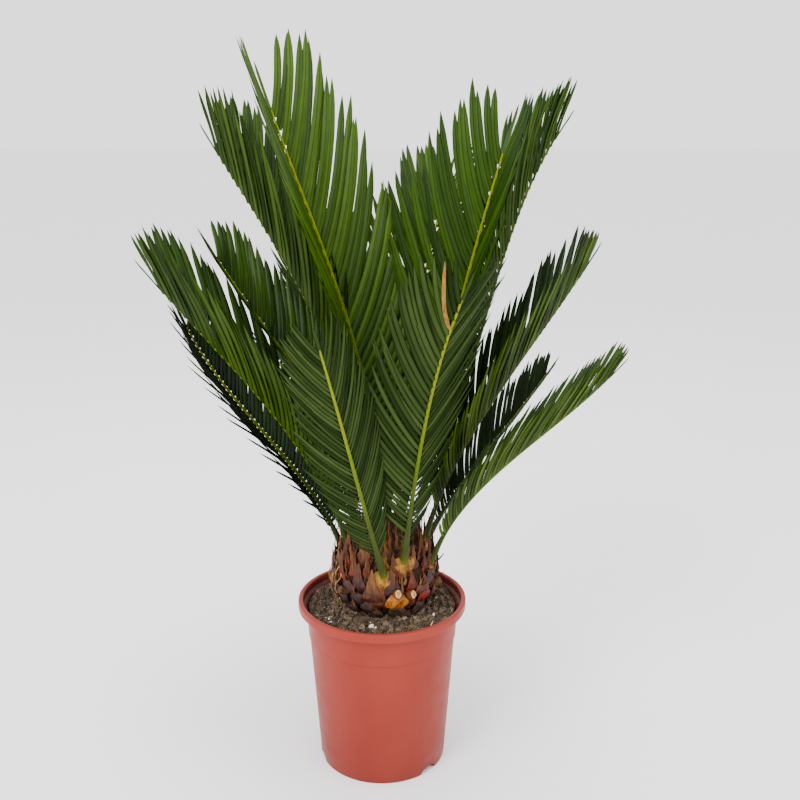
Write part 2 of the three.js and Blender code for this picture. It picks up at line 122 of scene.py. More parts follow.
# ---- driving sizes of the finer shapes

SHARP_ANGLE = 38  # edges sharper than this aren't smoothed
POT_SHARP_ANGLE = 50

LEAF_SPACING = 0.07  # of the frond's longest leaflet
LEAF_CROWD = 0.25  # closer at the foot, and wider apart at the tip
LEAF_PLACE = 0.4  # of a pair, as a share of its room
LEAF_STAGGER = 0.12  # right one ahead of that, left one behind
LEAF_SCATTER = 0.08
LEAF_ANGLE_SCATTER = 1.4
LEAF_UNEVEN = (-0.07, 0.05)  # in length
LEAF_LIFT = (0, 0.012)  # mean and spread of its end's rise, as a share of its length
LEAF_ARCH = (-0.02, 0.02)  # the same for its middle
LEAF_STEPS = 12
LEAF_FILL = ((0, 1), (0.15, 1.16), (0.3, 1.26), (0.5, 1.36), (1, 1.4))  # width over room
FILL_SHARES = {  # times that for some fronds
    "front_left": 0.9, "front_right": 0.88, "left_mid": 1.25, "left_low": 1.08, "left_lowest": 1.14,
    "right_low": 1.08, "right_upper": 1.08, "right_back": 1.05, "right_far": 0.88,
}
LEAF_WIDEST = 4.1  # largest half width
LEAF_LENGTHS = ((0, 0.3), (0.15, 0.68), (0.4, 1), (0.6, 1), (0.85, 0.8), (1, 0.42))
LEAF_ANGLES = ((0, 64), (0.25, 54), (0.5, 46), (0.8, 40), (1, 34))
LEAF_BEND = 16.2
LEAF_WIDE_BEND = 6  # how far it has bent where it is widest
LEAF_TWIST = 9
LEAF_TWIST_SCATTER = 6
LEAF_TWIST_RUN = 1.6  # the twist ends this much sooner than the leaflet
LEAF_CLEAR = 4  # from any other frond's rib
LEAF_ROOT_STEPS = 3  # at its root, which may be nearer
LEAF_CUT_BACK = 0.6  # of a step, from the first point too near
LEAF_LEAST = 0.4  # of its length, or it is left out
LEAF_ROOT = 0.92  # where it starts, as a share of the rib's half width
LEAF_TONES = 10
END_FROM = 0.985  # share of the rib where the one at its end starts
END_LENGTH = 0.35  # of the longest leaflet
END_HALF = 0.5  # of the widest one's
END_TONE = 5
SPRUNG = ("left_lowest", -1)  # frond and hand where some stand out of their row
SPRUNG_LIFT = 0.4
SPRUNG_WAVE = 2.1  # radians a pair, of the wave that lifts them
SPRUNG_FROM = 0.5  # height of the wave where it starts to
TURNED = ("left_mid",)  # twisted the other way
# half width along the leaflet, and its section: across, and up, in half widths
LEAF_WIDTHS = ((0, 0.64), (0.03, 0.92), (0.1, 1), (0.68, 0.98), (0.84, 0.8), (0.94, 0.42), (1, 0.03))
LEAF_TOP = ((1, -0.34), (0.62, -0.12), (0.14, 0.02), (0, -0.06), (-0.14, 0.02), (-0.62, -0.12), (-1, -0.34))
LEAF_UNDER = ((-0.7, -0.32), (0, -0.34), (0.7, -0.32))
LEAF_EDGE = 0.98  # the mark at its edge

DEAD_ROW, DEAD_FROM = ("front_right", 1), 0.88  # frond and hand, and share of the rib
DEAD_REACH, DEAD_HALF = 0.95, 0.75  # of a live one's length and width
DEAD_TWIST = 24
DEAD_SAG, DEAD_DROP = 5, 2
DEAD_CURL = (4, 2.4)  # how far it curls aside, and the radians of the curl

RIB_RINGS = (14, 44)  # in the swollen foot, and beyond it
RIB_SIDES = 12
RIB_CHANNEL = 0.72  # height of the middle of its upper side
SPINE_FROM = 0.9  # of the swollen foot's length
SPINE_SPACING, SPINE_SCATTER = 5.2, 1.2
SPINE_RISE, SPINE_LEAN = 0.35, (0.5, 1.0)  # upwards, and towards the frond's tip
SPINE_ROOT = 0.7  # of the rib's half width
SPINE_LENGTHS = (2.6, 7)  # of the lowest one, and how much longer the highest is
SPINE_SIZES = np.array([1.0, 0.75, 0.42, 0.05])
SPINE_SECTION = ((1, 0), (0, 1), (-1, 0), (0, -1))
SPINE_FLAT = 0.7  # depth over width
SPINE_MARK = 0.12  # place on the rib whose colour it takes


# ---- small helpers

def unit(rows):
    return rows / np.linalg.norm(rows, axis=-1, keepdims=True)


def along(table, x):
    """The value at x of a broken line through (x, y) pairs."""
    xs, ys = zip(*table)
    return np.interp(x, xs, ys)


def bearings(azimuth):
    """The level directions outwards and to the right of that."""
    a = radians(azimuth)
    return np.array([cos(a), sin(a), 0]), np.array([sin(a), -cos(a), 0])


def polar(azimuth, radius, height):
    """A point about the stem's axis."""
    return CAUDEX_CENTRE + radius * bearings(azimuth)[0] + height * UP


def full_turn(step):
    return np.radians(np.arange(0, 360, step))


def round_section(sides, hand=1):
    angles = np.linspace(0, 2 * pi, sides, endpoint=False)
    return [(cos(a), hand * sin(a)) for a in angles]


def revolved(profile, turns):
    """Points round the pot's axis, from (radius, height) pairs."""
    return [(r * cos(a), r * sin(a), h) for r, h in profile for a in turns]


def headed(points, face):
    """A line with its directions across, out of its face and forward."""
    forward = unit(np.gradient(points, axis=0))
    face = unit(face - forward * np.sum(face * forward, axis=1, keepdims=True))
    return points, np.cross(face, forward), face, forward


def put(name, data):
    made = bpy.data.objects.new(name, data)
    bpy.context.scene.collection.objects.link(made)
    return made


def ruffle(points, size, amount, seed=0.0):
    """Moves points by smooth noise of a grain size and an amount."""
    shift = Vector((seed * 17.3, seed * 5.1, seed * 9.7))
    moved = [noise.noise_vector(Vector(p) / size + shift) for p in points]
    return points + amount * np.array([tuple(m) for m in moved])


def tube_faces(rings, sides):
    """Quads round a tube of rings, then a cap at each end."""
    quads = [
        (r * sides + j, r * sides + (j + 1) % sides, (r + 1) * sides + (j + 1) % sides, (r + 1) * sides + j)
        for r in range(rings - 1)
        for j in range(sides)
    ]
    start = tuple(reversed(range(sides)))
    end = tuple((rings - 1) * sides + j for j in range(sides))
    return quads + [start, end]


class Shape:
    """One piece, gathered from closed bodies. A mark is a number at each point for the shader."""

    def __init__(self):
        self.points, self.faces, self.paints, self.marks = [], [], [], []
        self.count = 0

    def add(self, points, faces, paint=0, mark=0.0):
        points = np.asarray(points, float).reshape(-1, 3)
        self.points.append(points)
        self.faces += [tuple(i + self.count for i in face) for face in faces]
        self.paints += [paint] * len(faces) if isinstance(paint, int) else list(paint)
        self.marks.append(np.broadcast_to(mark, len(points)))
        self.count += len(points)

    def tube(self, centres, across, out, section, widths, depths, paint=0, mark=0.0, rough=None):
        """A body round a line: a ring of the section's (across, out) points at each centre."""
        x, y = np.array(section, float).T[:, :, None]
        rings = (
            centres[:, None]
            + across[:, None] * x * widths[:, None, None]
            + out[:, None] * y * depths[:, None, None]
        )
        if rough:
            rings = ruffle(rings.reshape(-1, 3), *rough)
        self.add(rings, tube_faces(len(centres), len(section)), paint, mark)

    def make(self, name, paints, slot, replaces=(), sharp=SHARP_ANGLE):
        mesh = bpy.data.meshes.new(name)
        mesh.from_pydata((np.concatenate(self.points) * MM).tolist(), [], self.faces)
        for paint in paints:
            mesh.materials.append(paint.material)
        mesh.polygons.foreach_set("material_index", np.array(self.paints, np.int32))
        mark = mesh.attributes.new("mark", "FLOAT", "POINT")
        mark.data.foreach_set("value", np.concatenate(self.marks).astype(np.float32))
        mesh.shade_smooth()
        mesh.set_sharp_from_angle(angle=radians(sharp))
        piece = put(name, mesh)
        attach(piece, "root")
        if replaces:
            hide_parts(*replaces)
        return piece


def ball(splits):
    """Points and faces of a unit octahedron, split finer a number of times."""
    points = [Vector(p) for p in ((1, 0, 0), (-1, 0, 0), (0, 1, 0), (0, -1, 0), (0, 0, 1), (0, 0, -1))]
    faces = [(0, 2, 4), (2, 1, 4), (1, 3, 4), (3, 0, 4), (2, 0, 5), (1, 2, 5), (3, 1, 5), (0, 3, 5)]
    for _ in range(splits):
        middles = {}

        def middle(i, j):
            key = (min(i, j), max(i, j))
            if key not in middles:
                middles[key] = len(points)
                points.append((points[i] + points[j]).normalized())
            return middles[key]

        finer = []
        for a, b, c in faces:
            ab, bc, ca = middle(a, b), middle(b, c), middle(c, a)
            finer += [(a, ab, ca), (b, bc, ab), (c, ca, bc), (ab, bc, ca)]
        faces = finer
    return np.array([tuple(p) for p in points]), faces


def turn_matrix(rng):
    """A random rotation."""
    w, x, y, z = unit(rng.normal(size=4))
    return np.array([
        [1 - 2 * (y * y + z * z), 2 * (x * y - z * w), 2 * (x * z + y * w)],
        [2 * (x * y + z * w), 1 - 2 * (x * x + z * z), 2 * (y * z - x * w)],
        [2 * (x * z - y * w), 2 * (y * z + x * w), 1 - 2 * (x * x + y * y)],
    ])


# ---- materials

def srgb(r, g, b):
    """A screen colour, 0 to 255, as a linear one, by the sRGB standard."""
    shares = [c / 255 for c in (r, g, b)]
    return tuple(c / 12.92 if c <= 0.04045 else ((c + 0.055) / 1.055) ** 2.4 for c in shares)


class Paint:
    """A Principled material and the nodes that lead to it."""

    def __init__(self, name, color, roughness, specular):
        self.material = bpy.data.materials.new(name)
        self.material.use_nodes = True
        self.tree = self.material.node_tree
        self.shader = self.tree.nodes["Principled BSDF"]
        self.shader.inputs["Base Color"].default_value = (*color, 1)
        self.shader.inputs["Roughness"].default_value = roughness
        self.shader.inputs["Specular IOR Level"].default_value = specular
        self.place = self.node("TexCoord").outputs["Object"]

    def node(self, kind, inputs=None, **settings):
        made = self.tree.nodes.new("ShaderNode" + kind)
        for key, value in settings.items():
            setattr(made, key, value)
        for key, value in (inputs or {}).items():
            if isinstance(value, bpy.types.NodeSocket):
                self.tree.links.new(value, made.inputs[key])
            else:
                made.inputs[key].default_value = value
        return made

    def noise(self, scale, detail, stretch=(1, 1, 1), rough=0.55):
        """Noise with a grain of 1 / scale metres."""
        place = self.node("Mapping", {"Vector": self.place, "Scale": stretch}).outputs[0]
        inputs = {"Vector": place, "Scale": scale, "Detail": detail, "Roughness": rough}
        return self.node("TexNoise", inputs).outputs["Fac"]

    def grade(self, factor, *stops):
        """A number or colour, by a factor, from stops of (place, value)."""
        ramp = self.node("ValToRGB", {"Fac": factor})
        elements = ramp.color_ramp.elements
        while len(elements) < len(stops):
            elements.new(0.5)
        for element, (place, value) in zip(elements, stops):
            element.position = place
            element.color = (*value, 1) if isinstance(value, tuple) else (value, value, value, 1)
        return ramp.outputs["Color"]

    def mix(self, factor, first, second, how="MIX"):
        """Two colours mixed. The node keeps its factor in socket 0 and its colours in 6 and 7."""
        first, second = ((*c, 1) if isinstance(c, tuple) else c for c in (first, second))
        inputs = {0: factor, 6: first, 7: second}
        return self.node("Mix", inputs, data_type="RGBA", blend_type=how).outputs[2]

    def times(self, first, second):
        return self.mix(1.0, first, second, "MULTIPLY")

    def mark(self):
        return self.node("Attribute", attribute_name="mark").outputs["Fac"]

    def work(self, how, *values):
        """The result of a sum of numbers."""
        return self.node("Math", dict(enumerate(values)), operation=how).outputs[0]

    def share(self, length, whole):
        """A length in metres as a share of a whole in millimetres."""
        return self.node("MapRange", {"Value": length, "From Max": whole * MM}).outputs["Result"]

    def into(self, socket, value):
        self.tree.links.new(value, self.shader.inputs[socket])

    def bump(self, height, distance, strength):
        """Relief of a depth in millimetres."""
        inputs = {"Height": height, "Distance": distance * MM, "Strength": strength}
        self.into("Normal", self.node("Bump", inputs).outputs["Normal"])


# roughness and specular level of a leaflet's faces, and their painted shade from middle to edge: darker at
# the edges, where leaflets shade one another, and in the groove along the top; the pale line along the
# underside's middle is its midrib
WAXY_SHADED_TOP = (0.45, 0.125, ((0, 0.42), (0.12, 0.7), (0.26, 1), (0.78, 0.92), (0.95, 0.35)))
MATT_SHADED_UNDER = (0.6, 0.04, ((0, 1), (0.1, 0.96), (0.2, 0.76), (0.62, 0.78), (0.86, 0.1)))


def leaf_paint(name, dark, light, roughness, specular, across):
    """One face of a leaflet, which reads the marks of add_leaflet: a tone for each leaflet, and painted
    shade towards its edges.
    """
    dark, light = srgb(*dark), srgb(*light)
    paint = Paint(name, light, roughness, specular)
    mark = paint.mark()
    tone = paint.work("DIVIDE", paint.work("FLOOR", mark), LEAF_TONES - 1)
    out = paint.work("FRACT", mark)
    # painted shade: the edge grade darkens each leaflet towards its edges and in the groove on top
    colour = paint.times(paint.grade(tone, (0, dark), (1, light)), paint.grade(out, *across))
    cloud = paint.grade(paint.noise(70, 3), (0.34, 0.84), (0.66, 1))
    paint.into("Base Color", paint.times(colour, cloud))
    streak = paint.noise(900, 2)
    paint.into("Roughness", paint.grade(streak, (0.3, roughness - 0.08), (0.75, roughness + 0.1)))
    paint.bump(streak, 0.12, 0.5)
    return paint


def rib_paint():
    """Yellow-green rib, deep green stalk and yellow foot, by a mark from foot to tip."""
    paint = Paint("rib_green", srgb(96, 112, 4), 0.5, 0.1)
    place = paint.mark()
    tone = paint.grade(
        place,
        (0, srgb(84, 84, 6)), (0.02, srgb(60, 64, 10)), (0.05, srgb(44, 53, 14)),
        (0.24, srgb(54, 69, 12)), (0.42, srgb(82, 98, 0)), (0.85, srgb(118, 128, 4)),
    )
    fleck = paint.grade(paint.noise(420, 3, (1, 1, 0.3)), (0.35, 0.78), (0.65, 1))
    paint.into("Base Color", paint.times(tone, fleck))
    paint.bump(paint.noise(700, 3, (1, 1, 0.25)), 0.15, 0.5)
    return paint


def scale_paint(name, *colours):
    """A leaf base, deep and fleshy in colour, that dries towards its point."""
    deep, fleshy, dry = (srgb(*colour) for colour in colours)
    paint = Paint(name, fleshy, 0.55, 0.25)
    blotch = paint.noise(170, 4)
    flesh = paint.grade(blotch, (0.36, deep), (0.62, fleshy))
    length = paint.mark()
    fibre = paint.noise(420, 4, (1, 1, 0.22))
    husk = paint.grade(fibre, (0.3, tuple(0.3 * c for c in dry)), (0.62, dry))
    streaked = paint.times(flesh, paint.grade(fibre, (0.34, 0.5), (0.56, 1)))
    rim = paint.mix(paint.grade(length, (0.42, 0), (0.66, 1)), streaked, husk)
    speck = paint.grade(paint.noise(1500, 2), (0.3, 0.5), (0.5, 1))
    paint.into("Base Color", paint.times(rim, speck))
    paint.into("Roughness", paint.grade(length, (0.3, 0.42), (0.7, 0.85)))
    paint.bump(fibre, 0.8, 0.8)
    return paint


def fibrous(name, dark, light, grain=350, relief=0.6):
    """Dry husk, straw and cork."""
    dark, light = srgb(*dark), srgb(*light)
    paint = Paint(name, light, 0.85, 0.15)
    fibre = paint.noise(grain, 5, (1, 1, 0.3))
    paint.into("Base Color", paint.grade(fibre, (0.32, dark), (0.66, light)))
    paint.bump(fibre, relief, 0.8)
    return paint


def crumbly(name, dark, light):
    """Potting mix and grains of it."""
    dark, light = srgb(*dark), srgb(*light)
    paint = Paint(name, light, 0.9, 0.15)
    grit = paint.noise(900, 4)
    paint.into("Base Color", paint.grade(grit, (0.38, dark), (0.62, light)))
    paint.bump(grit, 0.5, 0.9)
    return paint


def pot_paint():
    """Satin terracotta plastic, a little clouded and scuffed, with painted light and shade: darker towards
    the foot, a dark line under the step in the wall, a lighter rim, and dark inside the rim above the soil."""
    paint = Paint("terracotta_plastic", srgb(136, 46, 35), 0.5, 0.12)
    cloud = paint.noise(14, 3, (1, 1, 0.5))
    tone = paint.grade(cloud, (0.3, srgb(131, 43, 34)), (0.7, srgb(142, 52, 41)))
    scuff = paint.grade(paint.noise(130, 6, (1, 1, 0.12), 0.7), (0.6, 0), (0.75, 0.07))
    height = paint.node("SeparateXYZ", {"Vector": paint.place}).outputs["Z"]
    rise = paint.share(height, POT_HEIGHT)
    step_share = POT_BAND / POT_HEIGHT
    # painted shade by height: darker towards the foot, a dark line just under the step, and lighter on the
    # rim
    shade = paint.grade(
        rise,
        (0, 0.74), (step_share - 0.007, 0.92), (step_share - 0.001, 0.7), (step_share + 0.005, 0.94),
        (0.94, 0.95), (0.96, 1),
    )
    tone = paint.times(tone, shade)
    tone = paint.mix(scuff, tone, srgb(172, 84, 68))
    smudge = paint.grade(paint.noise(38, 4), (0.62, 0), (0.75, 0.25))
    tone = paint.mix(smudge, tone, srgb(120, 49, 39))
    flat = paint.node("VectorMath", {0: paint.place, 1: (1, 1, 0)}, operation="MULTIPLY")
    radius = paint.node("VectorMath", {0: flat.outputs[0]}, operation="LENGTH")
    mouth = POT_MOUTH / POT_RIM
    out = paint.share(radius.outputs["Value"], POT_RIM)
    inside = paint.grade(out, (mouth + 0.002, 0.92), (mouth + 0.016, 0))
    lip = paint.grade(rise, (0.938, 0), (0.942, 1), (0.965, 0.85), (0.995, 0.25))
    # painted shade inside the rim: patchy dark brown on the inner wall, deepening towards the soil
    mouth_shade = paint.times(inside, lip)
    patchy = paint.grade(paint.noise(90, 4), (0.3, 0.5), (0.55, 1))
    paint.into("Base Color", paint.mix(paint.times(mouth_shade, patchy), tone, srgb(66, 41, 32)))
    paint.into("Roughness", paint.grade(paint.noise(60, 4), (0.3, 0.36), (0.7, 0.5)))
    paint.bump(paint.noise(1600, 3), 0.05, 0.4)
    return paint


def floor_paint():
    paint = Paint("pale_floor", (0.91, 0.91, 0.91), 0.8, 0.1)
    tone = paint.grade(paint.noise(3, 2), (0.3, (0.9, 0.9, 0.9)), (0.7, (0.92, 0.92, 0.92)))
    paint.into("Base Color", tone)
    return paint


# top faces of the leaves in three greens: bright for the young fronds; deep for older ones, darkened
# further to the green of leaves in shade, so partly painted shade
TINTS = {
    "deep": leaf_paint("leaf_deep_painted_shade", (14, 31, 4), (27, 48, 8), *WAXY_SHADED_TOP),
    "mid": leaf_paint("leaf_mid", (27, 51, 1), (49, 77, 5), *WAXY_SHADED_TOP),
    "bright": leaf_paint("leaf_bright", (39, 65, 0), (60, 88, 2), *WAXY_SHADED_TOP),
}
UNDER_FRONT = leaf_paint("leaf_under_front", (26, 42, 7), (57, 75, 32), *MATT_SHADED_UNDER)
UNDER = leaf_paint("leaf_under", (25, 44, 1), (55, 78, 13), *MATT_SHADED_UNDER)
# painted light: a lighter copy of the underside for the right-hand fronds, which the key lamp hardly
# reaches
UNDER_PAINTED_LIGHT = leaf_paint("leaf_under_painted_light", (35, 55, 2), (74, 98, 19), *MATT_SHADED_UNDER)
UNDERSIDES = {  # of the fronds that don't take UNDER
    "front_left": UNDER_FRONT, "front_right": UNDER_FRONT,
    # these right-hand fronds take the painted-light underside
    "right_low": UNDER_PAINTED_LIGHT, "right_upper": UNDER_PAINTED_LIGHT, "right_back": UNDER_PAINTED_LIGHT,
}
RIB_PAINT = rib_paint()
SCALE_PAINTS = [scale_paint("scale_" + name, *colours) for name, *colours in (
    ("amber", (118, 50, 8), (186, 118, 24), (96, 60, 30)),
    ("red", (44, 11, 7), (128, 34, 13), (86, 46, 25)),
    ("brown", (36, 16, 9), (88, 40, 20), (106, 66, 36)),
    ("purple", (24, 13, 17), (64, 34, 33), (78, 48, 33)),
    ("yellow", (112, 66, 8), (160, 112, 20), (88, 86, 22)),
    ("bark", (28, 19, 15), (74, 54, 42), (68, 50, 37)),
)]
AMBER, RED, BROWN, PURPLE, YELLOW, BARK = range(len(SCALE_PAINTS))
# each mix as (share up to which a draw picks the paint, paint)
FOOT_MIX = ((0.8, BARK), (1, PURPLE))
FRONT_MIX = ((0.62, PURPLE), (0.94, BROWN), (1, RED))
BACK_MIX = ((0.5, BROWN), (0.75, PURPLE), (0.92, RED), (1, AMBER))
TOP_MIX = ((0.48, BROWN), (0.78, RED), (0.92, AMBER), (1, PURPLE))
# width and paint of the base round each cut stalk, share of the stalk that stands out, and its darkness
STUB_LOOKS = (
    (25, AMBER, 0.68, 0), (14, BROWN, 0.66, 0), (13, BROWN, 0.55, 1),
    (14, PURPLE, 0.45, 1), (13, BROWN, 0.7, 1), (13, BROWN, 0.7, 1),
)
RED_BASES = ((-59, 209, 12), (-110, 221, 11), (-36, 222, 9))  # azimuth, height, width


# ---- fronds

class Frond:
    """A rib as a line with three directions: aside, forward and up out of the frond's trough."""

    def __init__(self, name, azimuth, foot, tilt, length, leaflet, fold, roll, spread, grow, tint):
        self.name, self.tint = name, tint
        self.length, self.leaflet, self.fold = length, leaflet, radians(fold)
        self.spread, self.grow = spread, grow
        t = np.linspace(0, 1, RIB_STEPS + 1)
        bent = tilt[0] * (1 - t) * (1 - 2 * t) + 4 * tilt[1] * t * (1 - t) + tilt[2] * t * (2 * t - 1)
        lean = np.radians(bent)[:, None]
        outward, level = bearings(azimuth)
        self.forward = outward * np.sin(lean) + UP * np.cos(lean)
        turned = radians(roll)
        self.side = level * cos(turned) - np.cross(level, self.forward) * sin(turned)
        self.up = np.cross(self.side, self.forward)
        steps = self.forward[:-1] * length / RIB_STEPS
        self.point = polar(*foot) + np.vstack([np.zeros(3), np.cumsum(steps, axis=0)])

    def at(self, distance):
        """Point, side, forward and up at distances from the foot, straight on past the ends."""
        distance = np.asarray(distance, float)
        inside = np.clip(distance, 0, self.length)
        place = inside / self.length * RIB_STEPS
        i = np.minimum(place.astype(int), RIB_STEPS - 1)
        part = (place - i)[..., None]
        side, forward, up, point = (
            rows[i] * (1 - part) + rows[i + 1] * part
            for rows in (self.side, self.forward, self.up, self.point)
        )
        forward = unit(forward)
        return point + forward * (distance - inside)[..., None], unit(side), forward, unit(up)

    def half(self, distance):
        """Half the rib's width."""
        share = np.clip(np.asarray(distance, float) / self.length, 0, 1)
        swollen = (RIB_FOOT_HALF - RIB_HALF) * np.exp(-((share * self.length / RIB_SWELL) ** 2))
        return RIB_HALF + (RIB_TIP_HALF - RIB_HALF) * share + swollen


def leaflet_line(frond, hand, at, angle, reach, lift, arch):
    """The middle line of a leaflet in the folded blade."""
    u = np.linspace(0, 1, LEAF_STEPS + 1)
    turn = np.radians(angle - LEAF_BEND * u)
    middle = (turn[1:] + turn[:-1]) / 2
    step = reach / LEAF_STEPS
    aside = np.concatenate([[0], np.cumsum(np.sin(middle) * step)])
    forth = np.concatenate([[0], np.cumsum(np.cos(middle) * step)])
    point, side, _, up = frond.at(at + forth)
    level, steep = cos(frond.fold), sin(frond.fold)
    across = hand * (LEAF_ROOT * frond.half(at) + aside * level)
    face = up * level - side * hand * steep
    rise = reach * (lift * u ** 2 + arch * u * (1 - u))
    points = point + side * across[:, None] + up * (aside * steep)[:, None] + face * rise[:, None]
    return headed(points, face)


def clear_share(points, ribs):
    """The share of a leaflet's line that is clear of rib points."""
    outer = points[LEAF_ROOT_STEPS:]
    near = np.linalg.norm(outer[:, None] - ribs[None], axis=2).min(axis=1) < LEAF_CLEAR
    if not near.any():
        return 1.0
    return (LEAF_ROOT_STEPS + int(np.argmax(near)) - LEAF_CUT_BACK) / (len(points) - 1)


def leaflets(frond, others, rng):
    """Each leaflet of a frond as (share of the rib, hand, line, half width)."""
    bare = RIB_BARE * frond.length
    pairs = round((frond.length - bare) / (LEAF_SPACING * frond.leaflet))
    for pair in range(pairs):
        for hand in (1, -1):
            scatter = rng.uniform(-LEAF_SCATTER, LEAF_SCATTER)
            place = (pair + LEAF_PLACE + LEAF_STAGGER * hand + scatter) / pairs
            share = place * (1 - LEAF_CROWD + LEAF_CROWD * place)
            room = (frond.length - bare) / pairs * (1 - LEAF_CROWD + 2 * LEAF_CROWD * place)
            at = bare + share * (frond.length - bare)
            angle = frond.spread * along(LEAF_ANGLES, share) + rng.normal(0, LEAF_ANGLE_SCATTER)
            reach = frond.leaflet * along(LEAF_LENGTHS, share) * (1 + frond.grow * (share - 0.5))
            reach *= 1 + rng.uniform(*LEAF_UNEVEN)
            lift, arch = rng.normal(*LEAF_LIFT), rng.normal(*LEAF_ARCH)
            if (frond.name, hand) == SPRUNG:
                lift -= SPRUNG_LIFT * max(0, sin(SPRUNG_WAVE * pair) - SPRUNG_FROM)
            line = leaflet_line(frond, hand, at, angle, reach, lift, arch)
            kept = clear_share(line[0], others)
            if kept < LEAF_LEAST:
                continue
            if kept < 1:
                line = leaflet_line(frond, hand, at, angle, reach * kept, lift, arch)
            fill = along(LEAF_FILL, share) * FILL_SHARES.get(frond.name, 1)
            slant = sin(radians(angle - LEAF_WIDE_BEND))
            yield share, hand, line, min(0.5 * fill * room * slant, LEAF_WIDEST)


def add_leaflet(shape, line, half, twist, tone):
    """One stiff blade with rolled-down edges and a grooved middle. The whole part of its mark is its
    tone and the rest how far out a point lies."""
    points, across, face, forward = line
    u = np.linspace(0, 1, len(points))
    turn = np.radians(twist * np.sin(np.pi * np.minimum(u * LEAF_TWIST_RUN, 1)))[:, None]
    tilted = across * np.cos(turn) + face * np.sin(turn)
    out = np.cross(forward, tilted)
    widths = half * along(LEAF_WIDTHS, u)
    section = LEAF_TOP + LEAF_UNDER
    sides = len(section)
    paint = [0 if j < len(LEAF_TOP) - 1 else 1 for j in range(sides)] * (len(points) - 1) + [0, 0]
    mark = np.tile([tone + LEAF_EDGE * abs(x) for x, _ in section], len(points))
    shape.tube(points, tilted, out, section, widths, widths, paint, mark)


def make_leaves(frond, others, seed):
    """The two rows of leaflets and the one at the rib's end."""
    rng = np.random.default_rng(seed)
    shape = Shape()
    middle_twist = -LEAF_TWIST if frond.name in TURNED else LEAF_TWIST
    withered = None
    for share, hand, line, half in leaflets(frond, others, rng):
        if withered is None and (frond.name, hand) == DEAD_ROW and share > DEAD_FROM:
            withered = (line, half)
            continue
        twist = hand * (middle_twist + rng.normal(0, LEAF_TWIST_SCATTER))
        add_leaflet(shape, line, half, twist, int(rng.integers(LEAF_TONES)))
    u = np.linspace(0, 1, LEAF_STEPS + 1)
    point, side, forward, up = frond.at(frond.length * END_FROM + u * END_LENGTH * frond.leaflet)
    add_leaflet(shape, (point, -side, up, forward), END_HALF * LEAF_WIDEST, 0, END_TONE)
    paints = [TINTS[frond.tint], UNDERSIDES.get(frond.name, UNDER)]
    shape.make("leaves_" + frond.name, paints, "frond", ["frond_" + frond.name])
    return withered


def make_rib(frond, seed):
    """Stalk and rib, channelled above, with short spines on the stalk."""
    rng = np.random.default_rng(seed + 500)
    shape = Shape()
    foot_end = RIB_SWELL * 1.5
    stations = np.concatenate([
        np.linspace(-RIB_SUNK, foot_end, RIB_RINGS[0]),
        np.linspace(foot_end, frond.length, RIB_RINGS[1])[1:],
    ])
    point, side, forward, up = frond.at(stations)
    half = frond.half(stations)
    ring = [2 * pi * k / RIB_SIDES for k in range(RIB_SIDES)]
    section = [(sin(a), cos(a)) for a in ring]
    section[0] = (0, RIB_CHANNEL)
    mark = np.repeat(np.clip(stations / frond.length, 0, 1), len(section))
    shape.tube(point, side, up, section, half, half * RIB_DEEP, 0, mark)
    bare = RIB_BARE * frond.length
    for distance in np.arange(RIB_SWELL * SPINE_FROM, bare, SPINE_SPACING):
        for hand in (1, -1):
            at = distance + rng.uniform(-SPINE_SCATTER, SPINE_SCATTER)
            point, side, forward, up = frond.at(np.array([at]))
            way = unit(side * hand + up * SPINE_RISE + forward * rng.uniform(*SPINE_LEAN))[0]
            root = (point + side * hand * frond.half(at) * SPINE_ROOT)[0]
            length = SPINE_LENGTHS[0] + SPINE_LENGTHS[1] * at / bare
            line = root + way * np.linspace(0, length, len(SPINE_SIZES))[:, None]
            across = np.broadcast_to(forward, line.shape)
            out = np.broadcast_to(unit(np.cross(way, forward[0])), line.shape)
            depths = SPINE_SIZES * SPINE_FLAT
            shape.tube(line, across, out, SPINE_SECTION, SPINE_SIZES, depths, 0, SPINE_MARK)
    shape.make("rib_" + frond.name, [RIB_PAINT], "frond")


def make_withered(line, half):
    """One dead leaflet, tan, narrowed and curling at its end."""
    points, across, face, _ = line
    u = np.linspace(0, 1, len(points))
    points = np.column_stack([np.interp(DEAD_REACH * u, u, points[:, i]) for i in range(3)])
    aside = DEAD_CURL[0] * np.sin(DEAD_CURL[1] * u) * u
    points = points + face * (-DEAD_SAG * np.sin(np.pi * u) - DEAD_DROP)[:, None] + across * aside[:, None]
    shape = Shape()
    add_leaflet(shape, headed(points, face), half * DEAD_HALF, DEAD_TWIST, 0)
    tan = fibrous("withered", (104, 70, 22), (142, 106, 48), 300, 0.3)
    shape.make("withered_leaflet", [tan, tan], "frond")


def make_fronds():
    fronds = [Frond(name, *facts) for name, facts in FRONDS.items()]
    ribs = {f.name: f.at(np.linspace(RIB_SWELL, f.length, 90))[0] for f in fronds}
    for seed, frond in enumerate(fronds, 1):
        others = np.concatenate([points for name, points in ribs.items() if name != frond.name])
        withered = make_leaves(frond, others, seed)
        make_rib(frond, seed)
        if withered:
            make_withered(*withered)
    return fronds


# ---- caudex

# width and depth of a leaf base along its length, as shares of the largest, and its keeled section
SCALE_WIDTHS = (
    (0, 0.4), (0.1, 0.74), (0.24, 1), (0.38, 0.94), (0.52, 0.7), (0.66, 0.44), (0.85, 0.22), (1, 0.03),
)
SCALE_DEPTHS = (
    (0, 0.5), (0.12, 0.86), (0.26, 1), (0.4, 0.76), (0.54, 0.48), (0.7, 0.28), (0.85, 0.18), (1, 0.06),
)
SCALE_SECTION = (
    (1, -0.15), (0.55, 0.34), (0.1, 0.7), (-0.1, 0.7), (-0.55, 0.34), (-1, -0.15),
    (-0.5, -0.4), (0.5, -0.4),
)
